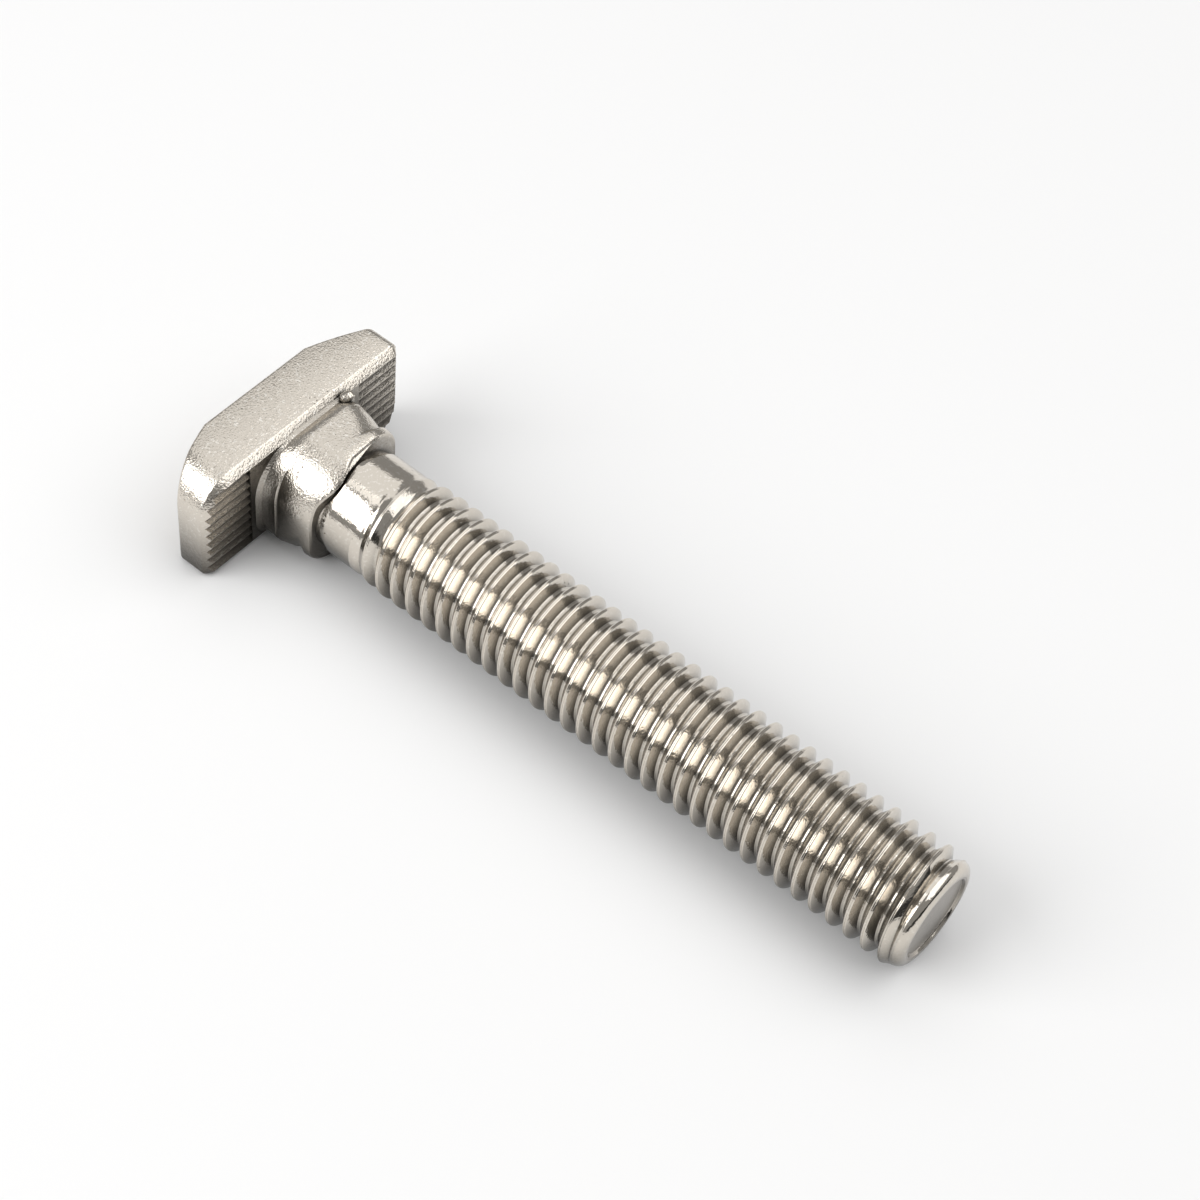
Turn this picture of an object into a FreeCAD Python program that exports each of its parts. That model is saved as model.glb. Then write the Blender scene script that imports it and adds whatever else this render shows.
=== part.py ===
import FreeCAD, Part
import math
import os

from FreeCAD import Vector

# T-slot bolt, M8, with a forged hammer head and a long threaded shank, all sizes in millimetres.
# The bolt is drawn along its own axis first: x runs from the seat (the underside of the head)
# toward the tip, y is up and z runs along the hammer head. It is laid down to rest at the end.

# Hammer head
head_length = 17.8
head_width = 8.0
head_thickness = 4.4
head_end_thickness = 2.5
head_flat_length = 8.9
head_slope_bulge = 0.12
head_corner_radius = 2.8
head_ear_radius = 0.5
head_edge_round = 0.22
head_seat_bevel = 0.5

# Serrations on the seat, V ridges that run along the head
serration_pitch = 0.76
serration_depth = 0.27
serration_neck_gap = 0.35
serration_cutter_lift = 0.5

# Neck: rounded on two opposite corners, with an ear on the other two
neck_length = 4.15
neck_side_flat = 0.1
neck_ear_radius = 1.5
neck_waist_radius = 3.1
neck_lip_radius = 2.2
neck_lip_length = 0.65
neck_flare = 0.55
neck_flare_length = 0.7
neck_flare_middle = 0.2
neck_flare_middle_length = 0.21
neck_end_round = 0.3
neck_end_drop = 0.18

# Plain shank between the neck and the thread, lower than the thread by a step all round
shank_step = 0.22
shank_length = 3.0
shank_groove_depth = 0.15
shank_groove_length = 0.3

# Threaded length, drawn as the rod that its crests touch, and the tip
thread_side_gap = 0.08
thread_runout_length = 2.2
length_under_head = 49.7
tip_chamfer_length = 0.75
tip_chamfer_height = 0.62
tip_edge_round = 0.15
tip_dish_depth = 0.12
tip_dish_diameter = 3.3

# The head, the neck and the thread all pass the same slot, so their widths follow the head's
neck_width = head_width
neck_round_radius = neck_width / 2 - neck_side_flat
thread_diameter = head_width - 2 * thread_side_gap
crest_radius = thread_diameter / 2
shank_radius = crest_radius - shank_step
tip_face_radius = crest_radius - tip_chamfer_height
tip_dish_radius = tip_dish_diameter / 2

# Places and counts that follow from the sizes above
thread_start = neck_length + shank_length
serration_count = int((head_width - 2 * head_seat_bevel) / serration_pitch)

# Length below which two places count as one
tolerance = 1e-6


def rounded_outline(x, half_y, half_z, large_radius, small_radius):
    """Closed outline across the axis, rounded on two opposite corners and eared on the others."""
    corners = [
        (1, 1, large_radius),
        (-1, 1, small_radius),
        (-1, -1, large_radius),
        (1, -1, small_radius),
    ]
    diagonal = math.sqrt(0.5)
    edges = []
    ends = []
    for side_y, side_z, radius in corners:
        centre_y = side_y * (half_y - radius)
        centre_z = side_z * (half_z - radius)
        on_side = Vector(x, side_y * half_y, centre_z)
        on_end = Vector(x, centre_y, side_z * half_z)
        reach = radius * diagonal
        middle = Vector(x, centre_y + side_y * reach, centre_z + side_z * reach)
        # The corners are met in turn, so every other one is entered from its end
        if side_y == side_z:
            first, last = on_side, on_end
        else:
            first, last = on_end, on_side
        edges.append(Part.Arc(first, middle, last).toShape())
        ends.append((first, last))
    outline = []
    for index, edge in enumerate(edges):
        following = ends[(index + 1) % len(ends)][0]
        outline.append(edge)
        outline.append(Part.makeLine(ends[index][1], following))
    return Part.Wire(outline)


def revolved(profile):
    """Solid turned about the axis from (x, radius) points that start and end on the axis."""
    points = [Vector(x, radius, 0) for x, radius in profile]
    face = Part.Face(Part.makePolygon(points + points[:1]))
    return face.revolve(Vector(0, 0, 0), Vector(1, 0, 0), 360)


def make_head_block():
    """Hammer head with a flat top, two curved slopes and thin square ends."""
    top = -head_thickness
    end = -head_end_thickness
    half_flat = head_flat_length / 2
    half_length = head_length / 2
    slope_x = (top + end) / 2 - head_slope_bulge
    slope_z = (half_flat + half_length) / 2
    right_slope = Part.Arc(Vector(top, 0, half_flat), Vector(slope_x, 0, slope_z),
                           Vector(end, 0, half_length)).toShape()
    left_slope = Part.Arc(Vector(end, 0, -half_length), Vector(slope_x, 0, -slope_z),
                          Vector(top, 0, -half_flat)).toShape()
    seat_right = Part.makePolygon([Vector(end, 0, half_length), Vector(0, 0, half_length),
                                   Vector(0, 0, -half_length), Vector(end, 0, -half_length)])
    flat_top = Part.makeLine(Vector(top, 0, -half_flat), Vector(top, 0, half_flat))
    side = Part.Wire([right_slope] + seat_right.Edges + [left_slope, flat_top])
    across = Vector(0, 2 * head_width, 0)
    slab = Part.Face(side).extrude(across)
    slab.translate(Vector(0, -head_width, 0))
    half_width = head_width / 2
    inset = head_seat_bevel
    prism = Part.makeLoft([
        rounded_outline(-2 * head_thickness, half_width, half_length,
                        head_corner_radius, head_ear_radius),
        rounded_outline(-inset, half_width, half_length, head_corner_radius, head_ear_radius),
        rounded_outline(0, half_width - inset, half_length - inset,
                        head_corner_radius - inset, head_ear_radius / 2),
    ], True, True)
    return slab.common(prism).removeSplitter()


def make_head():
    """Head block with the edges around its top softened."""
    block = make_head_block()
    top_edges = []
    for edge in block.Edges:
        box = edge.BoundBox
        is_across = box.ZLength < tolerance and abs(edge.CenterOfMass.z) < head_length / 2 - tolerance
        if box.XMax < -head_end_thickness + tolerance and not is_across:
            top_edges.append(edge)
    return block.makeFillet(head_edge_round, top_edges)


def serration_groove(y, start_z, end_z):
    """One V groove along the head, its mouth open at the seat."""
    # The V is drawn taller than its depth, with the same slope, so that it opens past the seat
    height = serration_depth + serration_cutter_lift
    half_mouth = serration_pitch / 2 * height / serration_depth
    profile = [Vector(-serration_depth, y, start_z),
               Vector(serration_cutter_lift, y + half_mouth, start_z),
               Vector(serration_cutter_lift, y - half_mouth, start_z)]
    face = Part.Face(Part.makePolygon(profile + profile[:1]))
    return face.extrude(Vector(0, 0, end_z - start_z))


def make_serrations():
    """Grooves on both wings, from the end of the head to the flare of the neck."""
    start = neck_width / 2 + neck_flare + serration_neck_gap
    end = head_length
    grooves = []
    for index in range(serration_count):
        y = (index - (serration_count - 1) / 2) * serration_pitch
        grooves.append(serration_groove(y, start, end))
        grooves.append(serration_groove(y, -end, -start))
    return grooves


def make_neck():
    """Neck lofted through its sections: flare at the head, waist, lip at the shoulder."""
    lip_start = neck_length - neck_lip_length
    end_start = neck_length - neck_end_round
    sections = [
        (-head_end_thickness / 2, neck_flare, neck_ear_radius),
        (0, neck_flare, neck_ear_radius),
        (neck_flare_middle_length, neck_flare_middle, neck_ear_radius),
        (neck_flare_length, 0, neck_ear_radius),
        (lip_start - neck_lip_length / 2, 0, neck_waist_radius),
        (lip_start, 0, neck_lip_radius),
        (end_start, 0, neck_lip_radius),
        (neck_length, -neck_end_drop, neck_lip_radius),
    ]
    wires = []
    for x, grow, ear_radius in sections:
        half = neck_width / 2 + grow
        wires.append(rounded_outline(x, half, half, neck_round_radius + grow, ear_radius + grow))
    neck = Part.makeLoft(wires, True, True)
    slab = Part.makeBox(2 * neck_length + head_thickness, head_width, 4 * neck_width,
                        Vector(-head_thickness, -head_width / 2, -2 * neck_width))
    return neck.common(slab)


def make_shank():
    """Turned shank: groove under the neck, plain length, rod across the thread's crests, tip."""
    groove_radius = shank_radius - shank_groove_depth
    groove_end = neck_length + shank_groove_length
    # The tip's round takes the same length off the end face and off the chamfer
    chamfer_slant = math.hypot(tip_chamfer_length, tip_chamfer_height)
    round_length = tip_edge_round * tip_chamfer_length / chamfer_slant
    round_rise = tip_edge_round * tip_chamfer_height / chamfer_slant
    return revolved([
        (-head_end_thickness / 2, 0),
        (-head_end_thickness / 2, groove_radius),
        (groove_end, groove_radius),
        (groove_end + shank_groove_length, shank_radius),
        (thread_start, shank_radius),
        (thread_start + thread_runout_length, crest_radius),
        (length_under_head - tip_chamfer_length, crest_radius),
        (length_under_head - round_length, tip_face_radius + round_rise),
        (length_under_head, tip_face_radius - tip_edge_round),
        (length_under_head - tip_dish_depth, tip_dish_radius),
        (length_under_head - tip_dish_depth, 0),
    ])


def make_bolt():
    """The whole bolt as one solid, along its own axis."""
    head = make_head()
    for groove in make_serrations():
        head = head.cut(groove)
    return head.fuse([make_neck(), make_shank()]).removeSplitter()


def lay_down(bolt):
    """The bolt at rest: on the lower edge of its head and on the threaded length near the tip."""
    drop = max(0.0, head_width / 2 - crest_radius)
    reach = length_under_head - tip_chamfer_length + head_seat_bevel
    tilt = math.degrees(math.atan2(drop, reach))
    bolt.rotate(Vector(0, 0, 0), Vector(1, 0, 0), 90)
    bolt.rotate(Vector(0, 0, 0), Vector(0, 1, 0), tilt)
    box = bolt.optimalBoundingBox()
    bolt.translate(Vector(-box.Center.x, -box.Center.y, -box.ZMin))
    return bolt


os.makedirs("parts", exist_ok=True)
lay_down(make_bolt()).exportStep("parts/t_slot_bolt.step")
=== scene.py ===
import math

import bmesh
import bpy
from mathutils import Matrix, Vector


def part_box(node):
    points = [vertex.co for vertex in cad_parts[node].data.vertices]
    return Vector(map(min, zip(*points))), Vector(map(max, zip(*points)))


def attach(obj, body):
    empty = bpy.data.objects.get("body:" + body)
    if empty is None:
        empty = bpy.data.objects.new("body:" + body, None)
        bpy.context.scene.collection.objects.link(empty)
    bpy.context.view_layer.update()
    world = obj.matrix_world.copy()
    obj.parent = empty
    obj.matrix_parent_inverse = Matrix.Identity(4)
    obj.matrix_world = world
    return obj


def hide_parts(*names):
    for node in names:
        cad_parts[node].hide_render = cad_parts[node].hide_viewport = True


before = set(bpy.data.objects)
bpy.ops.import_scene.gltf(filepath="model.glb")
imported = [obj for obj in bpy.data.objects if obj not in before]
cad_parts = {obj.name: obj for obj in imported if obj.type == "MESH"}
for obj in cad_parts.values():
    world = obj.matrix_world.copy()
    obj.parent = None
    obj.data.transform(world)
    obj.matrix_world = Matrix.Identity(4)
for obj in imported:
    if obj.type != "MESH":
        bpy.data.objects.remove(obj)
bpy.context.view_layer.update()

MM = 0.001

# Lengths below which points merge, places count as one, and a place counts as inside
merge_gap = 0.0005 * MM
near = 0.001 * MM
margin = 0.01 * MM

# How much of a face's normal lies along the axis where the face looks along it
facing = 0.8

# Hammer head, in the same sizes as the solid that it replaces
head_length = 17.8 * MM
head_width = 8.0 * MM
head_thickness = 4.4 * MM
head_end_thickness = 2.5 * MM
head_flat_length = 8.9 * MM
head_slope_bulge = 0.12 * MM
head_slope_cuts = 6
head_corner_radius = 2.8 * MM
head_ear_radius = 0.55 * MM
head_edge_round = 0.22 * MM
head_seat_bevel = 0.5 * MM
head_seat_bevel_round = 0.06 * MM
head_corner_segments = 14
head_ear_segments = 5
head_bevel_segments = 2
head_edge_segments = 5

# Share of the end's thickness beyond which the head's outer faces are ground
head_ground_share = 0.9

# Serrations on the seat
serration_pitch = 0.76 * MM
serration_depth = 0.27 * MM
serration_count = 9
serration_crest_round = 0.05 * MM
serration_crest_drop = 0.01 * MM
serration_crest_segments = 2
serration_neck_gap = 0.35 * MM
serration_comb_height = 1 * MM

# Neck: its flare at the head, the crease, the barrel between them and the shoulder, and the lip
neck_length = 4.15 * MM
neck_side_flat = 0.1 * MM
neck_ear_radius = 1.5 * MM
neck_waist_radius = 3.1 * MM
neck_lip_radius = 2.2 * MM
neck_lip_length = 0.65 * MM
neck_flare = 0.55 * MM
neck_flare_middle = 0.2 * MM
neck_flare_middle_length = 0.21 * MM
neck_flare_length = 0.7 * MM
neck_valley_depth = 0.38 * MM
neck_valley_length = 1.0 * MM
neck_crease_place = 1.24 * MM
neck_crease_depth = 0.1 * MM
neck_crease_half_width = 0.13 * MM
neck_barrel_bulge = 0.06 * MM
neck_end_round = 0.3 * MM
neck_end_drop = 0.18 * MM
neck_corner_segments = 16

# Foot of the flare, as shares of its length, of its middle's growth and of the valley's depth
neck_foot_place = 0.7
neck_foot_growth = 0.4
neck_foot_depth = 0.6

# End of the valley, as shares of its length and depth
neck_valley_end_place = 0.85
neck_valley_end_depth = 0.12

# The shoulder runs out along the shank where the neck is round
shoulder_reach = 0.7 * MM
shoulder_middle = math.radians(30)
shoulder_half_spread = math.radians(36)

# Lump of metal squeezed out where an ear of the neck meets the head
lump_place = Vector((0.34, 3.35, 3.72)) * MM
lump_size = Vector((0.5, 0.62, 0.42)) * MM
lump_pull = (0.1 * MM, 0.08 * MM, 0.06 * MM)
lump_cuts = 3
lump_roundness = 0.9

# Plain shank, thread and tip
shank_radius = 3.7 * MM
shank_groove_depth = 0.15 * MM
shank_groove_length = 0.4 * MM
crest_radius = 3.92 * MM
thread_pitch = 1.25 * MM
thread_depth = 0.69 * MM
thread_crest_width = 0.13 * MM
thread_crest_round = 0.05 * MM
thread_crest_round_drop = 0.03 * MM
thread_seam_width = 0.07 * MM
thread_seam_depth = 0.022 * MM
thread_root_width = 0.1 * MM
thread_root_round = 0.09 * MM
thread_root_round_rise = 0.055 * MM
thread_start = 7.15 * MM
thread_runout_length = 2.6 * MM
thread_smooth_end_pitches = 1.5
length_under_head = 49.7 * MM
tip_chamfer_length = 0.75 * MM
tip_ring_radius = 3.62 * MM
tip_ring_length = 0.56 * MM
tip_ring_cut = 0.04 * MM
tip_fade_length = 0.75 * MM
tip_round_cuts = 8
tip_rim_radius = 2.9 * MM
tip_wall_width = 0.22 * MM
tip_wall_cuts = 5
tip_wall_start = 0.5
tip_cup_depth = 0.22 * MM
steps_round = 72
smooth_angle = math.radians(24)

root_radius = crest_radius - thread_depth

# Where the bolt lies: the middle of its seat, and its slope down to the thread near the tip
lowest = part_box("t_slot_bolt")[0]
seat_x = lowest.x + head_thickness
axis_height = head_width / 2
lying_slope = math.atan2(head_width / 2 - crest_radius, length_under_head - tip_chamfer_length)


def start_piece(name):
    """Names the primitive that was just added and opens it for editing."""
    piece = bpy.context.active_object
    piece.name = name
    piece.data.name = name
    bpy.ops.object.mode_set(mode="EDIT")
    return piece


def pick(piece, kind, test):
    """Selects only the vertices, edges or faces whose place passes the test."""
    bpy.ops.mesh.select_mode(type=kind)
    bpy.ops.mesh.select_all(action="DESELECT")
    mesh = bmesh.from_edit_mesh(piece.data)
    parts = {"VERT": mesh.verts, "EDGE": mesh.edges, "FACE": mesh.faces}[kind]
    for part in parts:
        if test(part):
            part.select_set(True)
    mesh.select_flush_mode()
    bmesh.update_edit_mesh(piece.data)


def finish_piece(piece):
    """Merges what coincides, turns the faces outward and leaves edit mode."""
    bpy.ops.mesh.select_mode(type="VERT")
    bpy.ops.mesh.select_all(action="SELECT")
    bpy.ops.mesh.remove_doubles(threshold=merge_gap)
    bpy.ops.mesh.normals_make_consistent(inside=False)
    bpy.ops.mesh.select_all(action="DESELECT")
    bpy.ops.object.mode_set(mode="OBJECT")


def put_in_order(piece):
    """Sorts points, edges and faces by place, because the solver leaves another order in each run."""
    mesh = bmesh.new()
    mesh.from_mesh(piece.data)
    by_place = sorted(mesh.verts, key=lambda vert: tuple(vert.co))
    rank = {vert: place for place, vert in enumerate(by_place)}
    for parts in (mesh.edges, mesh.faces):
        by_corners = sorted(parts, key=lambda part: sorted(rank[vert] for vert in part.verts))
        part_rank = {part: place for place, part in enumerate(by_corners)}
        parts.sort(key=lambda part: part_rank[part])
    mesh.verts.sort(key=lambda vert: rank[vert])
    mesh.to_mesh(piece.data)
    mesh.free()


def start_faces_alike(piece):
    """Starts each face of an ordered piece at its last point, because that start varies too."""
    faces = []
    for face in piece.data.polygons:
        corners = list(face.vertices)
        first = corners.index(max(corners))
        faces.append((corners[first:] + corners[:first], face.material_index))
    mesh = bmesh.new()
    points = [mesh.verts.new(vert.co) for vert in piece.data.vertices]
    for corners, slot in sorted(faces):
        face = mesh.faces.new([points[corner] for corner in corners])
        face.material_index = slot
    mesh.to_mesh(piece.data)
    mesh.free()


def apply_boolean(piece, other, operation):
    """Cuts or joins the other piece and removes it."""
    bpy.ops.object.select_all(action="DESELECT")
    bpy.context.view_layer.objects.active = piece
    piece.select_set(True)
    change = piece.modifiers.new(operation.lower(), "BOOLEAN")
    change.object = other
    change.operation = operation
    change.solver = "EXACT"
    change.material_mode = "TRANSFER"
    bpy.ops.object.modifier_apply(modifier=change.name)
    bpy.data.objects.remove(other)
    put_in_order(piece)


def paint(piece, material):
    """Gives the whole piece one material."""
    piece.data.materials.clear()
    piece.data.materials.append(material)


def turned(name, profile):
    """Closed turned body from (x, radius) stations, capped flat at both ends."""
    bpy.ops.object.select_all(action="DESELECT")
    x, radius = profile[0]
    bpy.ops.mesh.primitive_circle_add(vertices=steps_round, radius=radius, fill_type="NGON",
                                      location=(x, 0, 0), rotation=(0, math.pi / 2, 0))
    bpy.ops.object.transform_apply(location=True, rotation=True, scale=True)
    piece = start_piece(name)
    bpy.ops.mesh.select_mode(type="FACE")
    bpy.ops.mesh.select_all(action="SELECT")
    for next_x, next_radius in profile[1:]:
        bpy.ops.mesh.extrude_region_move(TRANSFORM_OT_translate={"value": (next_x - x, 0, 0)})
        scale = next_radius / radius
        bpy.ops.transform.resize(value=(1, scale, scale), center_override=(next_x, 0, 0))
        x, radius = next_x, next_radius
    finish_piece(piece)
    return piece


# Materials: nickel plate over forged, rolled, smooth, ground and sheared steel
nickel_colour = (0.66, 0.61, 0.54, 1)
nickel_fleck_colour = (0.86, 0.83, 0.77, 1)
# Darker colour of the sheared tip end: partly its rougher sheared face, partly painted shade standing in
# for the shaded floor it reflects
end_colour_with_painted_shade = (0.4, 0.375, 0.345, 1)
nickel_pit_colour = (0.3, 0.27, 0.22, 1)
# Near-black colour that is mixed in as painted shade where the plating is closed in
painted_shade_colour = (0.05, 0.046, 0.04, 1)

# Sizes of the patterns, in repeats per millimetre, and the height of a pit in millimetres
ripples_per_mm = 0.9
flecks_per_mm = 4.2
pit_patches_per_mm = 0.7
pits_per_mm = 2.4
pit_height = 0.02

# Where in their noise the flecks start and are full, and a pit's rim and floor in its cell
fleck_start = 0.56
fleck_full = 0.66
pit_rim = 0.2
pit_floor = 0.08

# How much painted shade darkens the plating where it is closed in, and how much duller it gets there
painted_shade_share = 0.95
hollow_dullness = 0.15


def add_node(tree, kind, values, **settings):
    """One node with its settings, and its inputs set or linked by name."""
    node = tree.nodes.new(kind)
    for name, setting in settings.items():
        setattr(node, name, setting)
    for name, value in values.items():
        if isinstance(value, bpy.types.NodeSocket):
            tree.links.new(value, node.inputs[name])
        else:
            node.inputs[name].default_value = value
    return node


def calculate(tree, operation, first, second):
    """Result of a sum on two values or sockets."""
    return add_node(tree, "ShaderNodeMath", {0: first, 1: second}, operation=operation).outputs[0]


def mix_colours(tree, share, first, second):
    """Colour between two others."""
    factor, colour_a, colour_b, mixed = 0, 6, 7, 2
    node = add_node(tree, "ShaderNodeMix", {}, data_type="RGBA")
    for place, value in ((factor, share), (colour_a, first), (colour_b, second)):
        if isinstance(value, bpy.types.NodeSocket):
            tree.links.new(value, node.inputs[place])
        else:
            node.inputs[place].default_value = value
    return node.outputs[mixed]


def fade(tree, value, none_at, full_at):
    """Mask that grows from 0 to 1 between two values."""
    node = add_node(tree, "ShaderNodeMapRange", {
        "Value": value, "From Min": none_at, "From Max": full_at}, interpolation_type="SMOOTHSTEP")
    return node.outputs["Result"]


def start_group(name, inputs, outputs):
    """Empty node group with named inputs and outputs."""
    group = bpy.data.node_groups.new(name, "ShaderNodeTree")
    for socket_name, kind in inputs.items():
        group.interface.new_socket(socket_name, in_out="INPUT", socket_type="NodeSocket" + kind)
    for socket_name in outputs:
        group.interface.new_socket(socket_name, in_out="OUTPUT", socket_type="NodeSocketFloat")
    return group, group.nodes.new("NodeGroupInput").outputs, group.nodes.new("NodeGroupOutput").inputs


def make_grain_group():
    """Fine orange peel of the plating over slow ripples of the steel, and light flecks."""
    group, given, result = start_group(
        "plating_grain",
        {"Place": "Vector", "Grain per mm": "Float", "Grain Height": "Float", "Ripple Height": "Float"},
        ["Height", "Flecks"])
    grain = add_node(group, "ShaderNodeTexNoise", {
        "Vector": given["Place"], "Scale": given["Grain per mm"], "Detail": 1.5, "Roughness": 0.6})
    ripple = add_node(group, "ShaderNodeTexNoise", {
        "Vector": given["Place"], "Scale": ripples_per_mm, "Detail": 2.0, "Roughness": 0.5})
    fleck = add_node(group, "ShaderNodeTexNoise", {
        "Vector": given["Place"], "Scale": flecks_per_mm, "Detail": 3.0, "Roughness": 0.7})
    fine = calculate(group, "MULTIPLY", grain.outputs["Fac"], given["Grain Height"])
    slow = calculate(group, "MULTIPLY", ripple.outputs["Fac"], given["Ripple Height"])
    group.links.new(calculate(group, "ADD", fine, slow), result["Height"])
    group.links.new(fade(group, fleck.outputs["Fac"], fleck_start, fleck_full), result["Flecks"])
    return group


def make_pits_group():
    """Small pits, gathered in patches."""
    group, given, result = start_group(
        "plating_pits", {"Place": "Vector", "Pits per mm": "Float", "Share": "Float"}, ["Pits"])
    cells = add_node(group, "ShaderNodeTexVoronoi", {
        "Vector": given["Place"], "Scale": given["Pits per mm"]})
    patches = add_node(group, "ShaderNodeTexNoise", {
        "Vector": given["Place"], "Scale": pit_patches_per_mm, "Detail": 1.0})
    spot = fade(group, cells.outputs["Distance"], pit_rim, pit_floor)
    least = calculate(group, "SUBTRACT", 1.0, given["Share"])
    where = calculate(group, "GREATER_THAN", patches.outputs["Fac"], least)
    group.links.new(calculate(group, "MULTIPLY", spot, where), result["Pits"])
    return group


def make_painted_shade_group():
    """Mask of painted shade: where nearby parts or the floor close the surface in, the plating is painted
    darker and made duller.
    """
    group, given, result = start_group(
        "plating_painted_shade", {"Reach": "Float", "Open Above": "Float", "Closed Below": "Float"}, ["Hollows"])
    sky = add_node(group, "ShaderNodeAmbientOcclusion", {"Distance": given["Reach"]}, samples=8)
    closed = fade(group, sky.outputs["AO"], given["Open Above"], given["Closed Below"])
    group.links.new(closed, result["Hollows"])
    return group


grain_group = make_grain_group()
pits_group = make_pits_group()
painted_shade_group = make_painted_shade_group()


def plated(name, colour, most_fleck, stretch, grain_per_mm, grain_height, ripple_height, pit_share,
           roughness, painted_shade_reach, open_above, closed_below):
    """Nickel plate whose grain may be drawn out along one direction, heights in millimetres, with painted
    shade darkening and dulling it where it is closed in.
    """
    material = bpy.data.materials.new(name)
    material.use_nodes = True
    tree = material.node_tree
    place = add_node(tree, "ShaderNodeTexCoord", {})
    in_mm = add_node(tree, "ShaderNodeMapping", {
        "Vector": place.outputs["Object"], "Scale": (1 / MM, 1 / MM, 1 / MM)})
    drawn_out = add_node(tree, "ShaderNodeMapping", {
        "Vector": in_mm.outputs["Vector"], "Scale": stretch})
    grain = add_node(tree, "ShaderNodeGroup", {}, node_tree=grain_group)
    tree.links.new(drawn_out.outputs["Vector"], grain.inputs["Place"])
    grain.inputs["Grain per mm"].default_value = grain_per_mm
    grain.inputs["Grain Height"].default_value = grain_height
    grain.inputs["Ripple Height"].default_value = ripple_height
    pits = add_node(tree, "ShaderNodeGroup", {}, node_tree=pits_group)
    tree.links.new(in_mm.outputs["Vector"], pits.inputs["Place"])
    pits.inputs["Pits per mm"].default_value = pits_per_mm
    pits.inputs["Share"].default_value = pit_share
    painted_shade = add_node(tree, "ShaderNodeGroup", {}, node_tree=painted_shade_group)
    painted_shade.inputs["Reach"].default_value = painted_shade_reach
    painted_shade.inputs["Open Above"].default_value = open_above
    painted_shade.inputs["Closed Below"].default_value = closed_below

    fleck_share = calculate(tree, "MULTIPLY", grain.outputs["Flecks"], most_fleck)
    flecked = mix_colours(tree, fleck_share, colour, nickel_fleck_colour)
    pitted = mix_colours(tree, pits.outputs["Pits"], flecked, nickel_pit_colour)
    # Painted shade: the colour is darkened toward near-black where nearby parts or the floor close the
    # surface in
    shade = calculate(tree, "MULTIPLY", painted_shade.outputs["Hollows"], painted_shade_share)
    shaded = mix_colours(tree, shade, pitted, painted_shade_colour)
    duller = calculate(tree, "MULTIPLY", painted_shade.outputs["Hollows"], hollow_dullness)
    finish = calculate(tree, "ADD", duller, roughness)
    pit_depth = calculate(tree, "MULTIPLY", pits.outputs["Pits"], pit_height)
    height = calculate(tree, "SUBTRACT", grain.outputs["Height"], pit_depth)
    bump = add_node(tree, "ShaderNodeBump", {"Height": height, "Distance": MM, "Strength": 1.0})

    shader = tree.nodes["Principled BSDF"]
    shader.inputs["Metallic"].default_value = 1.0
    tree.links.new(shaded, shader.inputs["Base Color"])
    tree.links.new(finish, shader.inputs["Roughness"])
    tree.links.new(bump.outputs["Normal"], shader.inputs["Normal"])
    return material


# Reach and bounds set where each plate's painted shade starts and is full; the smooth plate's long reach
# paints shade on undersides near the floor
forged_plate = plated(
    "forged_nickel_plate", nickel_colour, most_fleck=0.75, stretch=(1, 1, 1), grain_per_mm=7.0,
    grain_height=0.036, ripple_height=0.016, pit_share=0.36, roughness=0.17,
    painted_shade_reach=8 * MM, open_above=0.95, closed_below=0.5)
rolled_plate = plated(
    "rolled_nickel_plate", nickel_colour, most_fleck=0.5, stretch=(1, 1, 1), grain_per_mm=5.5,
    grain_height=0.01, ripple_height=0.012, pit_share=0.3, roughness=0.1,
    painted_shade_reach=8 * MM, open_above=0.76, closed_below=0.22)
smooth_plate = plated(
    "smooth_nickel_plate", nickel_colour, most_fleck=0.5, stretch=(1, 1, 1), grain_per_mm=5.5,
    grain_height=0.01, ripple_height=0.012, pit_share=0.3, roughness=0.1,
    painted_shade_reach=20 * MM, open_above=0.8, closed_below=0.38)
ground_plate = plated(
    "ground_nickel_plate", nickel_colour, most_fleck=0.4, stretch=(1, 1, 0.12), grain_per_mm=8.0,
    grain_height=0.012, ripple_height=0.02, pit_share=0.42, roughness=0.3,
    painted_shade_reach=8 * MM, open_above=0.85, closed_below=0.3)
# Tip end: rougher sheared steel, whose darker colour is partly painted shade
sheared_plate = plated(
    "sheared_nickel_plate", end_colour_with_painted_shade, most_fleck=0.12, stretch=(1, 1, 1), grain_per_mm=4.0,
    grain_height=0.02, ripple_height=0.03, pit_share=0.3, roughness=0.32,
    painted_shade_reach=8 * MM, open_above=0.85, closed_below=0.2)


def head_slope(y):
    """How far the top of the head drops at y from its middle."""
    half_flat = head_flat_length / 2
    half_length = head_length / 2
    if abs(y) <= half_flat:
        return 0.0
    share = (abs(y) - half_flat) / (half_length - half_flat)
    bulge = head_slope_bulge * 4 * share * (1 - share)
    return share * (head_thickness - head_end_thickness) - bulge


def round_head_corners(head):
    """Rounds two opposite corners widely and the other two a little."""
    def along_axis(edge, way):
        start, end = edge.verts[0].co, edge.verts[1].co
        return abs(start.x - end.x) > head_thickness / 2 and start.y * start.z * way > 0

    pick(head, "EDGE", lambda edge: along_axis(edge, -1))
    bpy.ops.mesh.bevel(offset=head_corner_radius, segments=head_corner_segments, clamp_overlap=False)
    square = head_length / 2 - head_corner_radius / 2
    pick(head, "EDGE", lambda edge: along_axis(edge, 1) and abs(edge.verts[0].co.y) > square
         and abs(edge.verts[0].co.z) > head_width / 2 - head_ear_radius / 2)
    bpy.ops.mesh.bevel(offset=head_ear_radius, segments=head_ear_segments, clamp_overlap=False)


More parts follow.
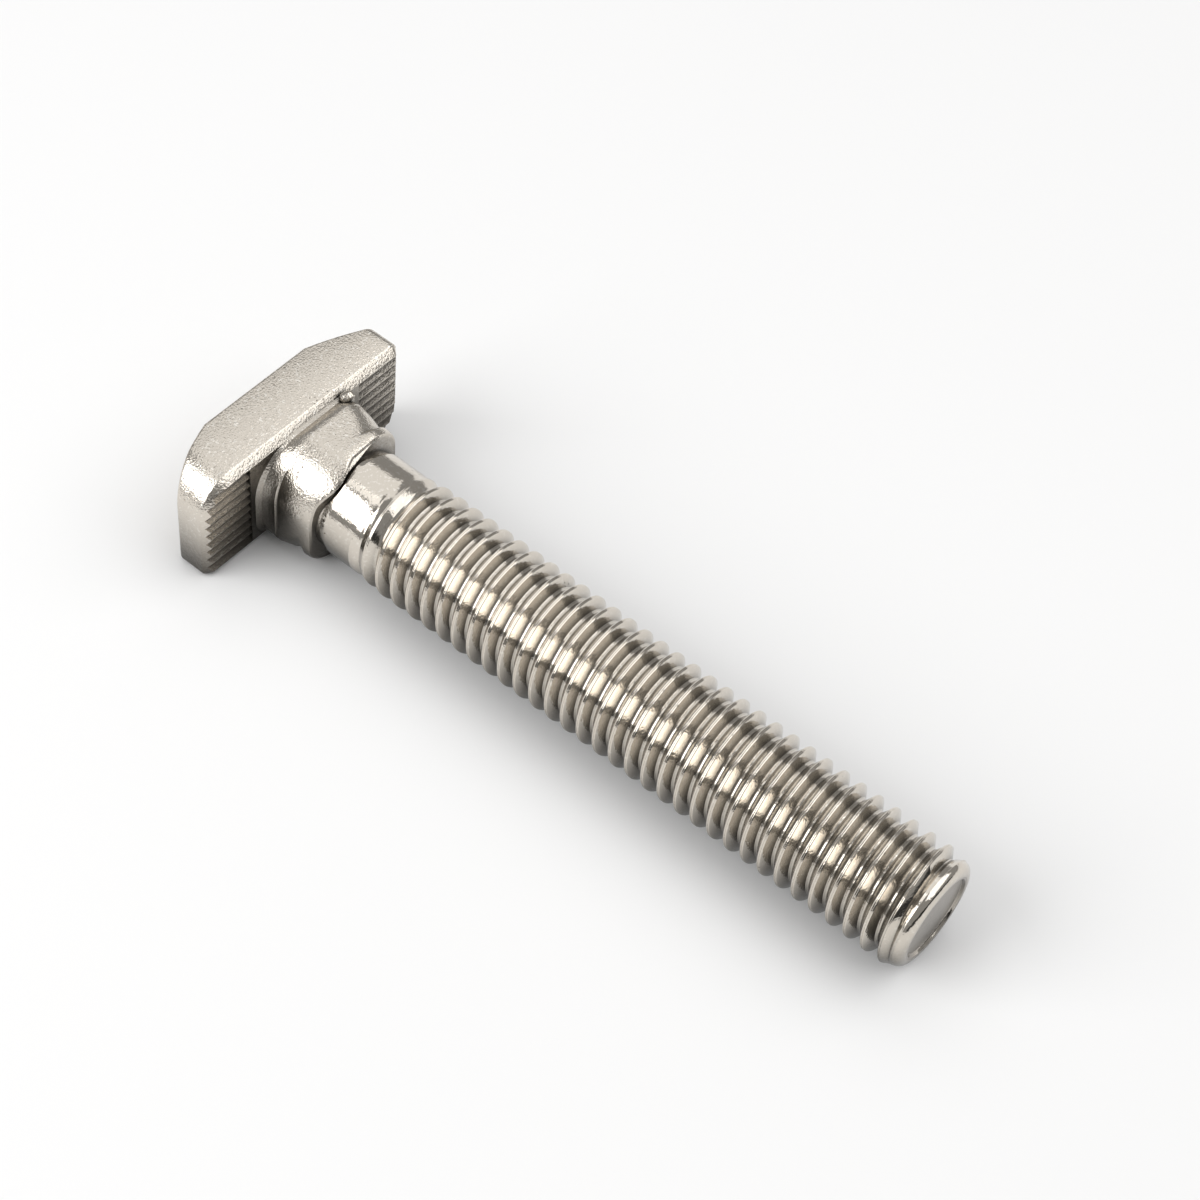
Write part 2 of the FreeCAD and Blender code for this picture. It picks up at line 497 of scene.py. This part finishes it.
def soften_head_edges(head):
    """Bevels the edge around the seat and rounds the one around the top."""
    def level(x):
        return lambda edge: all(abs(vert.co.x - x) < near for vert in edge.verts)

    pick(head, "EDGE", level(0))
    bpy.ops.mesh.bevel(offset=head_seat_bevel, segments=1, clamp_overlap=False)
    pick(head, "EDGE", level(-head_seat_bevel))
    bpy.ops.mesh.bevel(offset=head_seat_bevel_round, segments=head_bevel_segments, clamp_overlap=False)
    pick(head, "EDGE", level(-head_thickness))
    bpy.ops.mesh.bevel(offset=head_edge_round, segments=head_edge_segments, clamp_overlap=False)
    bpy.ops.mesh.select_all(action="SELECT")
    bpy.ops.mesh.remove_doubles(threshold=near)


def slope_head_top(head):
    """Cuts the head across its slopes and lowers each row, so that the slopes curve."""
    half_flat = head_flat_length / 2
    for side in (-1, 1):
        for cut in range(head_slope_cuts):
            y = side * (half_flat + cut / head_slope_cuts * (head_length / 2 - half_flat))
            bpy.ops.mesh.select_all(action="SELECT")
            bpy.ops.mesh.bisect(plane_co=(0, y, 0), plane_no=(0, 1, 0))
    mesh = bmesh.from_edit_mesh(head.data)
    rows = sorted({round(vert.co.y / MM, 3) for vert in mesh.verts})
    for row in rows:
        drop = head_slope(row * MM)
        if drop > 0:
            pick(head, "VERT", lambda vert: vert.co.x < -head_thickness / 2
                 and round(vert.co.y / MM, 3) == row)
            bpy.ops.transform.translate(value=(drop, 0, 0))


def make_head():
    """Hammer head: block with two rounded corners, sloped ends, bevelled seat and soft edges."""
    bpy.ops.object.select_all(action="DESELECT")
    bpy.ops.mesh.primitive_cube_add(size=1, location=(-head_thickness / 2, 0, 0),
                                    scale=(head_thickness, head_length, head_width))
    bpy.ops.object.transform_apply(location=True, rotation=False, scale=True)
    head = start_piece("bolt_head")
    round_head_corners(head)
    soften_head_edges(head)
    slope_head_top(head)
    finish_piece(head)
    paint(head, forged_plate)
    head.data.materials.append(ground_plate)
    for face in head.data.polygons:
        if face.normal.x < -facing and face.center.x < -head_end_thickness * head_ground_share:
            face.material_index = 1
    return head


def make_serration_comb(side):
    """Comb whose teeth cut the V grooves of one wing."""
    start = head_width / 2 + neck_flare + serration_neck_gap
    length = head_length - start
    width = serration_count * serration_pitch
    bpy.ops.object.select_all(action="DESELECT")
    middle = side * (start + length / 2)
    bpy.ops.mesh.primitive_grid_add(x_subdivisions=2 * serration_count, y_subdivisions=1, size=width,
                                    location=(0, middle, 0), rotation=(0, math.pi / 2, 0))
    bpy.ops.object.transform_apply(location=True, rotation=True, scale=True)
    comb = start_piece("serration_comb")
    bpy.ops.mesh.select_all(action="SELECT")
    bpy.ops.transform.resize(value=(1, length / width, 1), center_override=(0, middle, 0))
    half_pitch = serration_pitch / 2

    def row_of(vert):
        return round((vert.co.z + width / 2) / half_pitch)

    pick(comb, "VERT", lambda vert: row_of(vert) % 2 == 1)
    bpy.ops.transform.translate(value=(-serration_depth, 0, 0))
    pick(comb, "VERT", lambda vert: row_of(vert) % 2 == 0)
    bpy.ops.transform.translate(value=(-serration_crest_drop, 0, 0))
    pick(comb, "EDGE", lambda edge: all(row_of(vert) % 2 == 0 for vert in edge.verts)
         and abs(edge.verts[0].co.z) < width / 2 - half_pitch)
    bpy.ops.mesh.bevel(offset=serration_crest_round, segments=serration_crest_segments, clamp_overlap=False)
    bpy.ops.mesh.select_all(action="SELECT")
    bpy.ops.mesh.extrude_region_move(TRANSFORM_OT_translate={"value": (serration_comb_height, 0, 0)})
    bpy.ops.transform.resize(value=(0, 1, 1), center_override=(serration_comb_height, 0, 0))
    finish_piece(comb)
    paint(comb, forged_plate)
    return comb


def neck_sections():
    """Stations along the neck: place, growth of its sides, growth of its flats, ear radius."""
    lip_start = neck_length - neck_lip_length
    crease = neck_crease_place
    half_crease = neck_crease_half_width
    valley = neck_valley_depth
    ear = neck_ear_radius
    return [
        (-head_end_thickness / 2, neck_flare, -valley, ear),
        (0, neck_flare, -valley, ear),
        (neck_flare_middle_length, neck_flare_middle, -valley, ear),
        (neck_flare_length * neck_foot_place, neck_flare_middle * neck_foot_growth,
         -valley * neck_foot_depth, ear),
        (neck_valley_length * neck_valley_end_place, 0, -valley * neck_valley_end_depth, ear),
        (crease - half_crease, 0, 0, ear),
        (crease, -neck_crease_depth, 0, ear),
        (crease + half_crease, 0, 0, ear),
        ((crease + lip_start) / 2, neck_barrel_bulge, 0, (ear + neck_waist_radius) / 2),
        (lip_start - neck_lip_length / 2, neck_barrel_bulge, 0, neck_waist_radius),
        (lip_start, neck_barrel_bulge / 2, 0, neck_lip_radius),
        (neck_length - neck_end_round, 0, 0, neck_lip_radius),
        (neck_length - neck_end_round / 3, -neck_end_drop / 3, -neck_end_drop / 3, neck_lip_radius),
        (neck_length, -neck_end_drop, -neck_end_drop, neck_lip_radius),
    ]


def make_neck_outline(x, half_y, half_z, ear_radius):
    """Outline across the axis, rounded on two opposite corners and eared on the others."""
    bpy.ops.object.select_all(action="DESELECT")
    bpy.ops.mesh.primitive_plane_add(size=2 * half_z, location=(x, 0, 0),
                                     rotation=(0, math.pi / 2, 0))
    bpy.ops.object.transform_apply(location=True, rotation=True, scale=True)
    outline = start_piece("neck_outline")
    bpy.ops.mesh.select_all(action="SELECT")
    bpy.ops.transform.resize(value=(1, half_y / half_z, 1), center_override=(x, 0, 0))
    pick(outline, "VERT", lambda vert: vert.co.y * vert.co.z < 0)
    bpy.ops.mesh.bevel(offset=min(half_y, half_z) - neck_side_flat, segments=neck_corner_segments,
                       affect="VERTICES", clamp_overlap=False)
    pick(outline, "VERT", lambda vert: abs(vert.co.y) > half_y - margin
         and abs(vert.co.z) > half_z - margin)
    bpy.ops.mesh.bevel(offset=ear_radius, segments=neck_corner_segments, affect="VERTICES",
                       clamp_overlap=False)
    bpy.ops.object.mode_set(mode="OBJECT")
    return outline


def stretch_shoulder(neck):
    """Draws the shoulder out along the shank where the neck is round."""
    near_end = neck_length - neck_end_round - margin
    mesh = bmesh.from_edit_mesh(neck.data)
    for vert in mesh.verts:
        turn = math.atan2(-vert.co.y, vert.co.z)
        for middle in (shoulder_middle, shoulder_middle - math.pi):
            share = (turn - middle) / shoulder_half_spread
            if vert.co.x > near_end and abs(share) < 1:
                vert.co.x += shoulder_reach * math.cos(math.pi / 2 * share) ** 2
    bmesh.update_edit_mesh(neck.data)


def make_neck():
    """Neck from outlines across the axis, bridged one to the next."""
    sections = neck_sections()
    half = head_width / 2
    outlines = [make_neck_outline(x, half + side, half + flat, ear_radius)
                for x, side, flat, ear_radius in sections]
    bpy.ops.object.select_all(action="DESELECT")
    for outline in outlines:
        outline.select_set(True)
    neck = outlines[0]
    bpy.context.view_layer.objects.active = neck
    bpy.ops.object.join()
    neck = start_piece("bolt_neck")
    first_x = sections[0][0] + margin
    last_x = sections[-1][0] - margin
    pick(neck, "FACE", lambda face: first_x < face.calc_center_median().x < last_x)
    bpy.ops.mesh.delete(type="ONLY_FACE")
    for (x, *_), (next_x, *_) in zip(sections, sections[1:]):
        pick(neck, "EDGE", lambda edge: abs(edge.verts[0].co.x - edge.verts[1].co.x) < near
             and min(abs(edge.verts[0].co.x - x), abs(edge.verts[0].co.x - next_x)) < near)
        bpy.ops.mesh.bridge_edge_loops()
    stretch_shoulder(neck)
    finish_piece(neck)
    paint(neck, forged_plate)
    return neck


def make_lump():
    """Lump of squeezed-out metal beside the neck, pulled out of round."""
    bpy.ops.object.select_all(action="DESELECT")
    bpy.ops.mesh.primitive_cube_add(size=1, location=lump_place, scale=lump_size)
    bpy.ops.object.transform_apply(location=True, rotation=False, scale=True)
    lump = start_piece("neck_lump")
    bpy.ops.mesh.select_all(action="SELECT")
    bpy.ops.mesh.subdivide(number_cuts=lump_cuts, smoothness=lump_roundness)
    pick(lump, "VERT", lambda vert: vert.co.z > lump_place.z and vert.co.y > lump_place.y)
    bpy.ops.transform.translate(value=lump_pull)
    finish_piece(lump)
    paint(lump, forged_plate)
    return lump


def thread_profile():
    """One pitch of thread from root to root, with a fold line along its crest."""
    middle = thread_pitch / 2
    half_crest = thread_crest_width / 2
    half_seam = thread_seam_width / 2
    half_root = thread_root_width / 2
    rise = [
        (half_root, root_radius),
        (half_root + thread_root_round, root_radius + thread_root_round_rise),
        (middle - half_crest - thread_crest_round, crest_radius - thread_crest_round_drop),
        (middle - half_crest, crest_radius),
        (middle - half_seam, crest_radius),
    ]
    fold = (middle, crest_radius - thread_seam_depth)
    fall = [(thread_pitch - x, radius) for x, radius in reversed(rise)]
    return [(0, root_radius)] + rise + [fold] + fall + [(thread_pitch, root_radius)]


def eased(share):
    """Share between 0 and 1 that starts and ends gently."""
    share = min(max(share, 0), 1)
    return share * share * (3 - 2 * share)


def ease_thread(thread):
    """Lets the thread grow out of the plain shank, as rolling does, and die out in the tip's ring."""
    mesh = bmesh.from_edit_mesh(thread.data)
    ring_start = length_under_head - tip_ring_length
    end_radius = tip_ring_radius + tip_ring_cut
    for vert in mesh.verts:
        radius = math.hypot(vert.co.y, vert.co.z)
        if radius > 0:
            grown = eased((vert.co.x - thread_start) / thread_runout_length)
            left = eased((ring_start - vert.co.x) / tip_fade_length)
            new_radius = shank_radius + (radius - shank_radius) * grown
            new_radius = end_radius + (new_radius - end_radius) * left
            vert.co.y *= new_radius / radius
            vert.co.z *= new_radius / radius
    bmesh.update_edit_mesh(thread.data)


def make_thread():
    """Screw solid from one pitch of thread profile, its ends drawn in to the axis."""
    profile = thread_profile()
    first = math.floor((neck_length - thread_pitch) / thread_pitch) * thread_pitch
    turns = math.ceil((length_under_head - first) / thread_pitch) + 1
    bpy.ops.object.select_all(action="DESELECT")
    bpy.ops.mesh.primitive_plane_add(size=1 * MM)
    thread = start_piece("bolt_thread")
    bpy.ops.mesh.select_all(action="SELECT")
    bpy.ops.mesh.merge(type="CENTER")
    x, radius = profile[0]
    bpy.ops.transform.translate(value=(first + x, 0, radius))
    for next_x, next_radius in profile[1:]:
        bpy.ops.mesh.extrude_region_move(
            TRANSFORM_OT_translate={"value": (next_x - x, 0, next_radius - radius)})
        x, radius = next_x, next_radius
    bpy.ops.object.mode_set(mode="OBJECT")
    screw = thread.modifiers.new("screw", "SCREW")
    screw.axis = "X"
    screw.angle = math.tau
    screw.screw_offset = thread_pitch
    screw.iterations = turns
    screw.steps = steps_round
    screw.render_steps = steps_round
    bpy.ops.object.modifier_apply(modifier=screw.name)
    bpy.ops.object.mode_set(mode="EDIT")
    bpy.ops.mesh.select_all(action="SELECT")
    bpy.ops.mesh.remove_doubles(threshold=near)
    ease_thread(thread)
    middle = first + turns * thread_pitch / 2
    for side in (-1, 1):
        pick(thread, "EDGE", lambda edge: edge.is_boundary
             and (edge.verts[0].co.x - middle) * side > 0)
        bpy.ops.mesh.extrude_edges_move(TRANSFORM_OT_translate={"value": (side * thread_pitch, 0, 0)})
        bpy.ops.mesh.select_mode(type="VERT")
        bpy.ops.mesh.merge(type="CENTER")
        mesh = bmesh.from_edit_mesh(thread.data)
        end = next(vert for vert in mesh.verts if vert.select)
        bpy.ops.transform.translate(value=(0, -end.co.y, -end.co.z))
    finish_piece(thread)
    paint(thread, rolled_plate)
    thread.data.materials.append(smooth_plate)
    smooth_end = length_under_head - thread_smooth_end_pitches * thread_pitch
    for face in thread.data.polygons:
        if not thread_start < face.center.x < smooth_end:
            face.material_index = 1
    return thread


def tip_stations():
    """Stations of the tip: a wide round from the ring to the rim, then the wall and floor of the cup."""
    stations = []
    for cut in range(tip_round_cuts + 1):
        turn = math.pi / 2 * cut / tip_round_cuts
        stations.append((length_under_head - tip_ring_length * (1 - math.sin(turn)),
                         tip_rim_radius + (tip_ring_radius - tip_rim_radius) * math.cos(turn)))
    for cut in range(1, tip_wall_cuts + 1):
        share = cut / tip_wall_cuts
        stations.append((length_under_head - tip_cup_depth * eased(share),
                         tip_rim_radius - tip_wall_width * (share + tip_wall_start)))
    cup_x = length_under_head - tip_cup_depth
    return stations + [(cup_x, tip_rim_radius / 2), (cup_x, tip_rim_radius / 4)]


def make_shank_envelope():
    """Turned body that the thread is cut to: groove under the neck, ringed and cupped tip."""
    outside = crest_radius + thread_depth
    groove_start = neck_length - neck_end_round * 2
    groove_end = neck_length + shank_groove_length
    groove_radius = shank_radius - shank_groove_depth
    groove_rise = shank_groove_length * (outside - groove_radius) / shank_groove_depth
    envelope = turned("shank_envelope", [
        (groove_start, groove_radius),
        (groove_end, groove_radius),
        (groove_end + groove_rise, outside),
        (length_under_head - tip_chamfer_length - tip_ring_length, outside),
    ] + tip_stations())
    paint(envelope, smooth_plate)
    envelope.data.materials.append(sheared_plate)
    for face in envelope.data.polygons:
        if face.normal.x > facing and math.hypot(face.center.y, face.center.z) < tip_rim_radius:
            face.material_index = 1
    return envelope


def make_bolt():
    """The whole bolt as one closed mesh along its own axis."""
    shank = make_thread()
    apply_boolean(shank, make_shank_envelope(), "INTERSECT")
    bolt = make_head()
    for side in (-1, 1):
        apply_boolean(bolt, make_serration_comb(side), "DIFFERENCE")
    apply_boolean(bolt, make_lump(), "UNION")
    apply_boolean(bolt, make_neck(), "UNION")
    start_faces_alike(shank)
    apply_boolean(bolt, shank, "UNION")
    bolt.name = "forged_bolt"
    bolt.data.name = "forged_bolt"
    return bolt


bolt = make_bolt()
bolt.data.transform(Matrix.Translation((seat_x, 0, axis_height))
                    @ Matrix.Rotation(lying_slope, 4, "Y"))
bpy.ops.object.select_all(action="DESELECT")
bpy.context.view_layer.objects.active = bolt
bolt.select_set(True)
bpy.ops.object.shade_smooth_by_angle(angle=smooth_angle)
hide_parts("t_slot_bolt")
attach(bolt, "root")


# Floor, lamps and camera
floor_size = 4.0
lamp_distance = 0.4
lamp_aim = Vector((0, 0, 0.004))

# The photograph's focal length and width in its pixels, and the camera's film in millimetres
focal_length = 2694.9
photo_width = 1200
film_width = 36


def make_floor():
    """White paper floor."""
    bpy.ops.mesh.primitive_plane_add(size=floor_size)
    floor = bpy.context.active_object
    floor.name = "floor"
    material = bpy.data.materials.new("white_floor")
    material.use_nodes = True
    paper = material.node_tree.nodes["Principled BSDF"]
    paper.inputs["Base Color"].default_value = (0.92, 0.92, 0.92, 1)
    paper.inputs["Roughness"].default_value = 0.9
    paper.inputs["Specular IOR Level"].default_value = 0.1
    floor.data.materials.append(material)


def way_to(azimuth, elevation):
    """Unit vector toward a lamp, its azimuth in degrees from +X toward +Y."""
    turn = math.radians(azimuth)
    rise = math.radians(elevation)
    return Vector((math.cos(rise) * math.cos(turn), math.cos(rise) * math.sin(turn), math.sin(rise)))


def add_panel(name, azimuth, elevation, width, height, radiance):
    """Soft rectangular lamp at lamp_distance, facing the bolt, as bright as radiance says."""
    way = way_to(azimuth, elevation)
    lamp = bpy.data.objects.new(name, bpy.data.lights.new(name, "AREA"))
    lamp.data.shape = "RECTANGLE"
    lamp.data.size = width
    lamp.data.size_y = height
    lamp.data.energy = radiance * math.pi * width * height
    lamp.location = lamp_aim + way * lamp_distance
    lamp.rotation_euler = way.to_track_quat("Z", "Y").to_euler()
    bpy.context.scene.collection.objects.link(lamp)


def add_black_card(azimuth, distance, width, height):
    """Black card on the floor that gives the metal its dark lines, out of the camera's sight."""
    way = way_to(azimuth, 0)
    bpy.ops.mesh.primitive_plane_add(size=1)
    card = bpy.context.active_object
    card.name = "black_card"
    card.data.transform(Matrix.Translation(way * distance + Vector((0, 0, height / 2)))
                        @ Matrix.Rotation(math.radians(azimuth), 4, "Z")
                        @ Matrix.Rotation(math.pi / 2, 4, "Y")
                        @ Matrix.Diagonal((height, width, 1, 1)))
    material = bpy.data.materials.new("black_card")
    material.use_nodes = True
    felt = material.node_tree.nodes["Principled BSDF"]
    felt.inputs["Base Color"].default_value = (0.02, 0.02, 0.02, 1)
    felt.inputs["Roughness"].default_value = 0.8
    card.data.materials.append(material)
    card.visible_camera = False
    card.visible_diffuse = False
    card.visible_shadow = False


make_floor()
scene = bpy.context.scene
scene.world = bpy.data.worlds.new("studio")
scene.world.use_nodes = True
soft_light = scene.world.node_tree.nodes["Background"]
soft_light.inputs["Color"].default_value = (1, 0.995, 0.985, 1)
soft_light.inputs["Strength"].default_value = 0.32
add_panel("front_left_panel", azimuth=-124, elevation=34, width=0.30, height=0.29, radiance=3.5)
add_panel("back_right_panel", azimuth=38, elevation=57, width=0.46, height=0.38, radiance=1.5)
add_panel("top_left_panel", azimuth=135, elevation=56, width=0.36, height=0.30, radiance=0.74)
add_panel("top_panel", azimuth=-150, elevation=66, width=0.13, height=0.13, radiance=1.1)
add_black_card(azimuth=-8, distance=0.3, width=0.75, height=0.08)

# Camera at the photograph's viewing angle: the picture's directions, and the seat as seen along them
focal_share = focal_length / photo_width
right = Vector((0.7649, 0.6398, 0.0747))
down = Vector((0.5421, -0.5767, -0.6112))
forward = Vector((-0.348, 0.508, -0.7879))
offset = Vector((-18.719, -8.739, 171.471)) * MM
seat_place = Vector((seat_x, 0, axis_height))
camera_place = seat_place - right * offset.x - down * offset.y - forward * offset.z
camera = bpy.data.objects.new("camera", bpy.data.cameras.new("camera"))
camera.data.sensor_width = film_width
camera.data.lens = film_width * focal_share
turn = Matrix((right, -down, -forward)).transposed().to_4x4()
camera.matrix_world = Matrix.Translation(camera_place) @ turn
scene.collection.objects.link(camera)
scene.camera = camera
scene.view_settings.view_transform = "Standard"
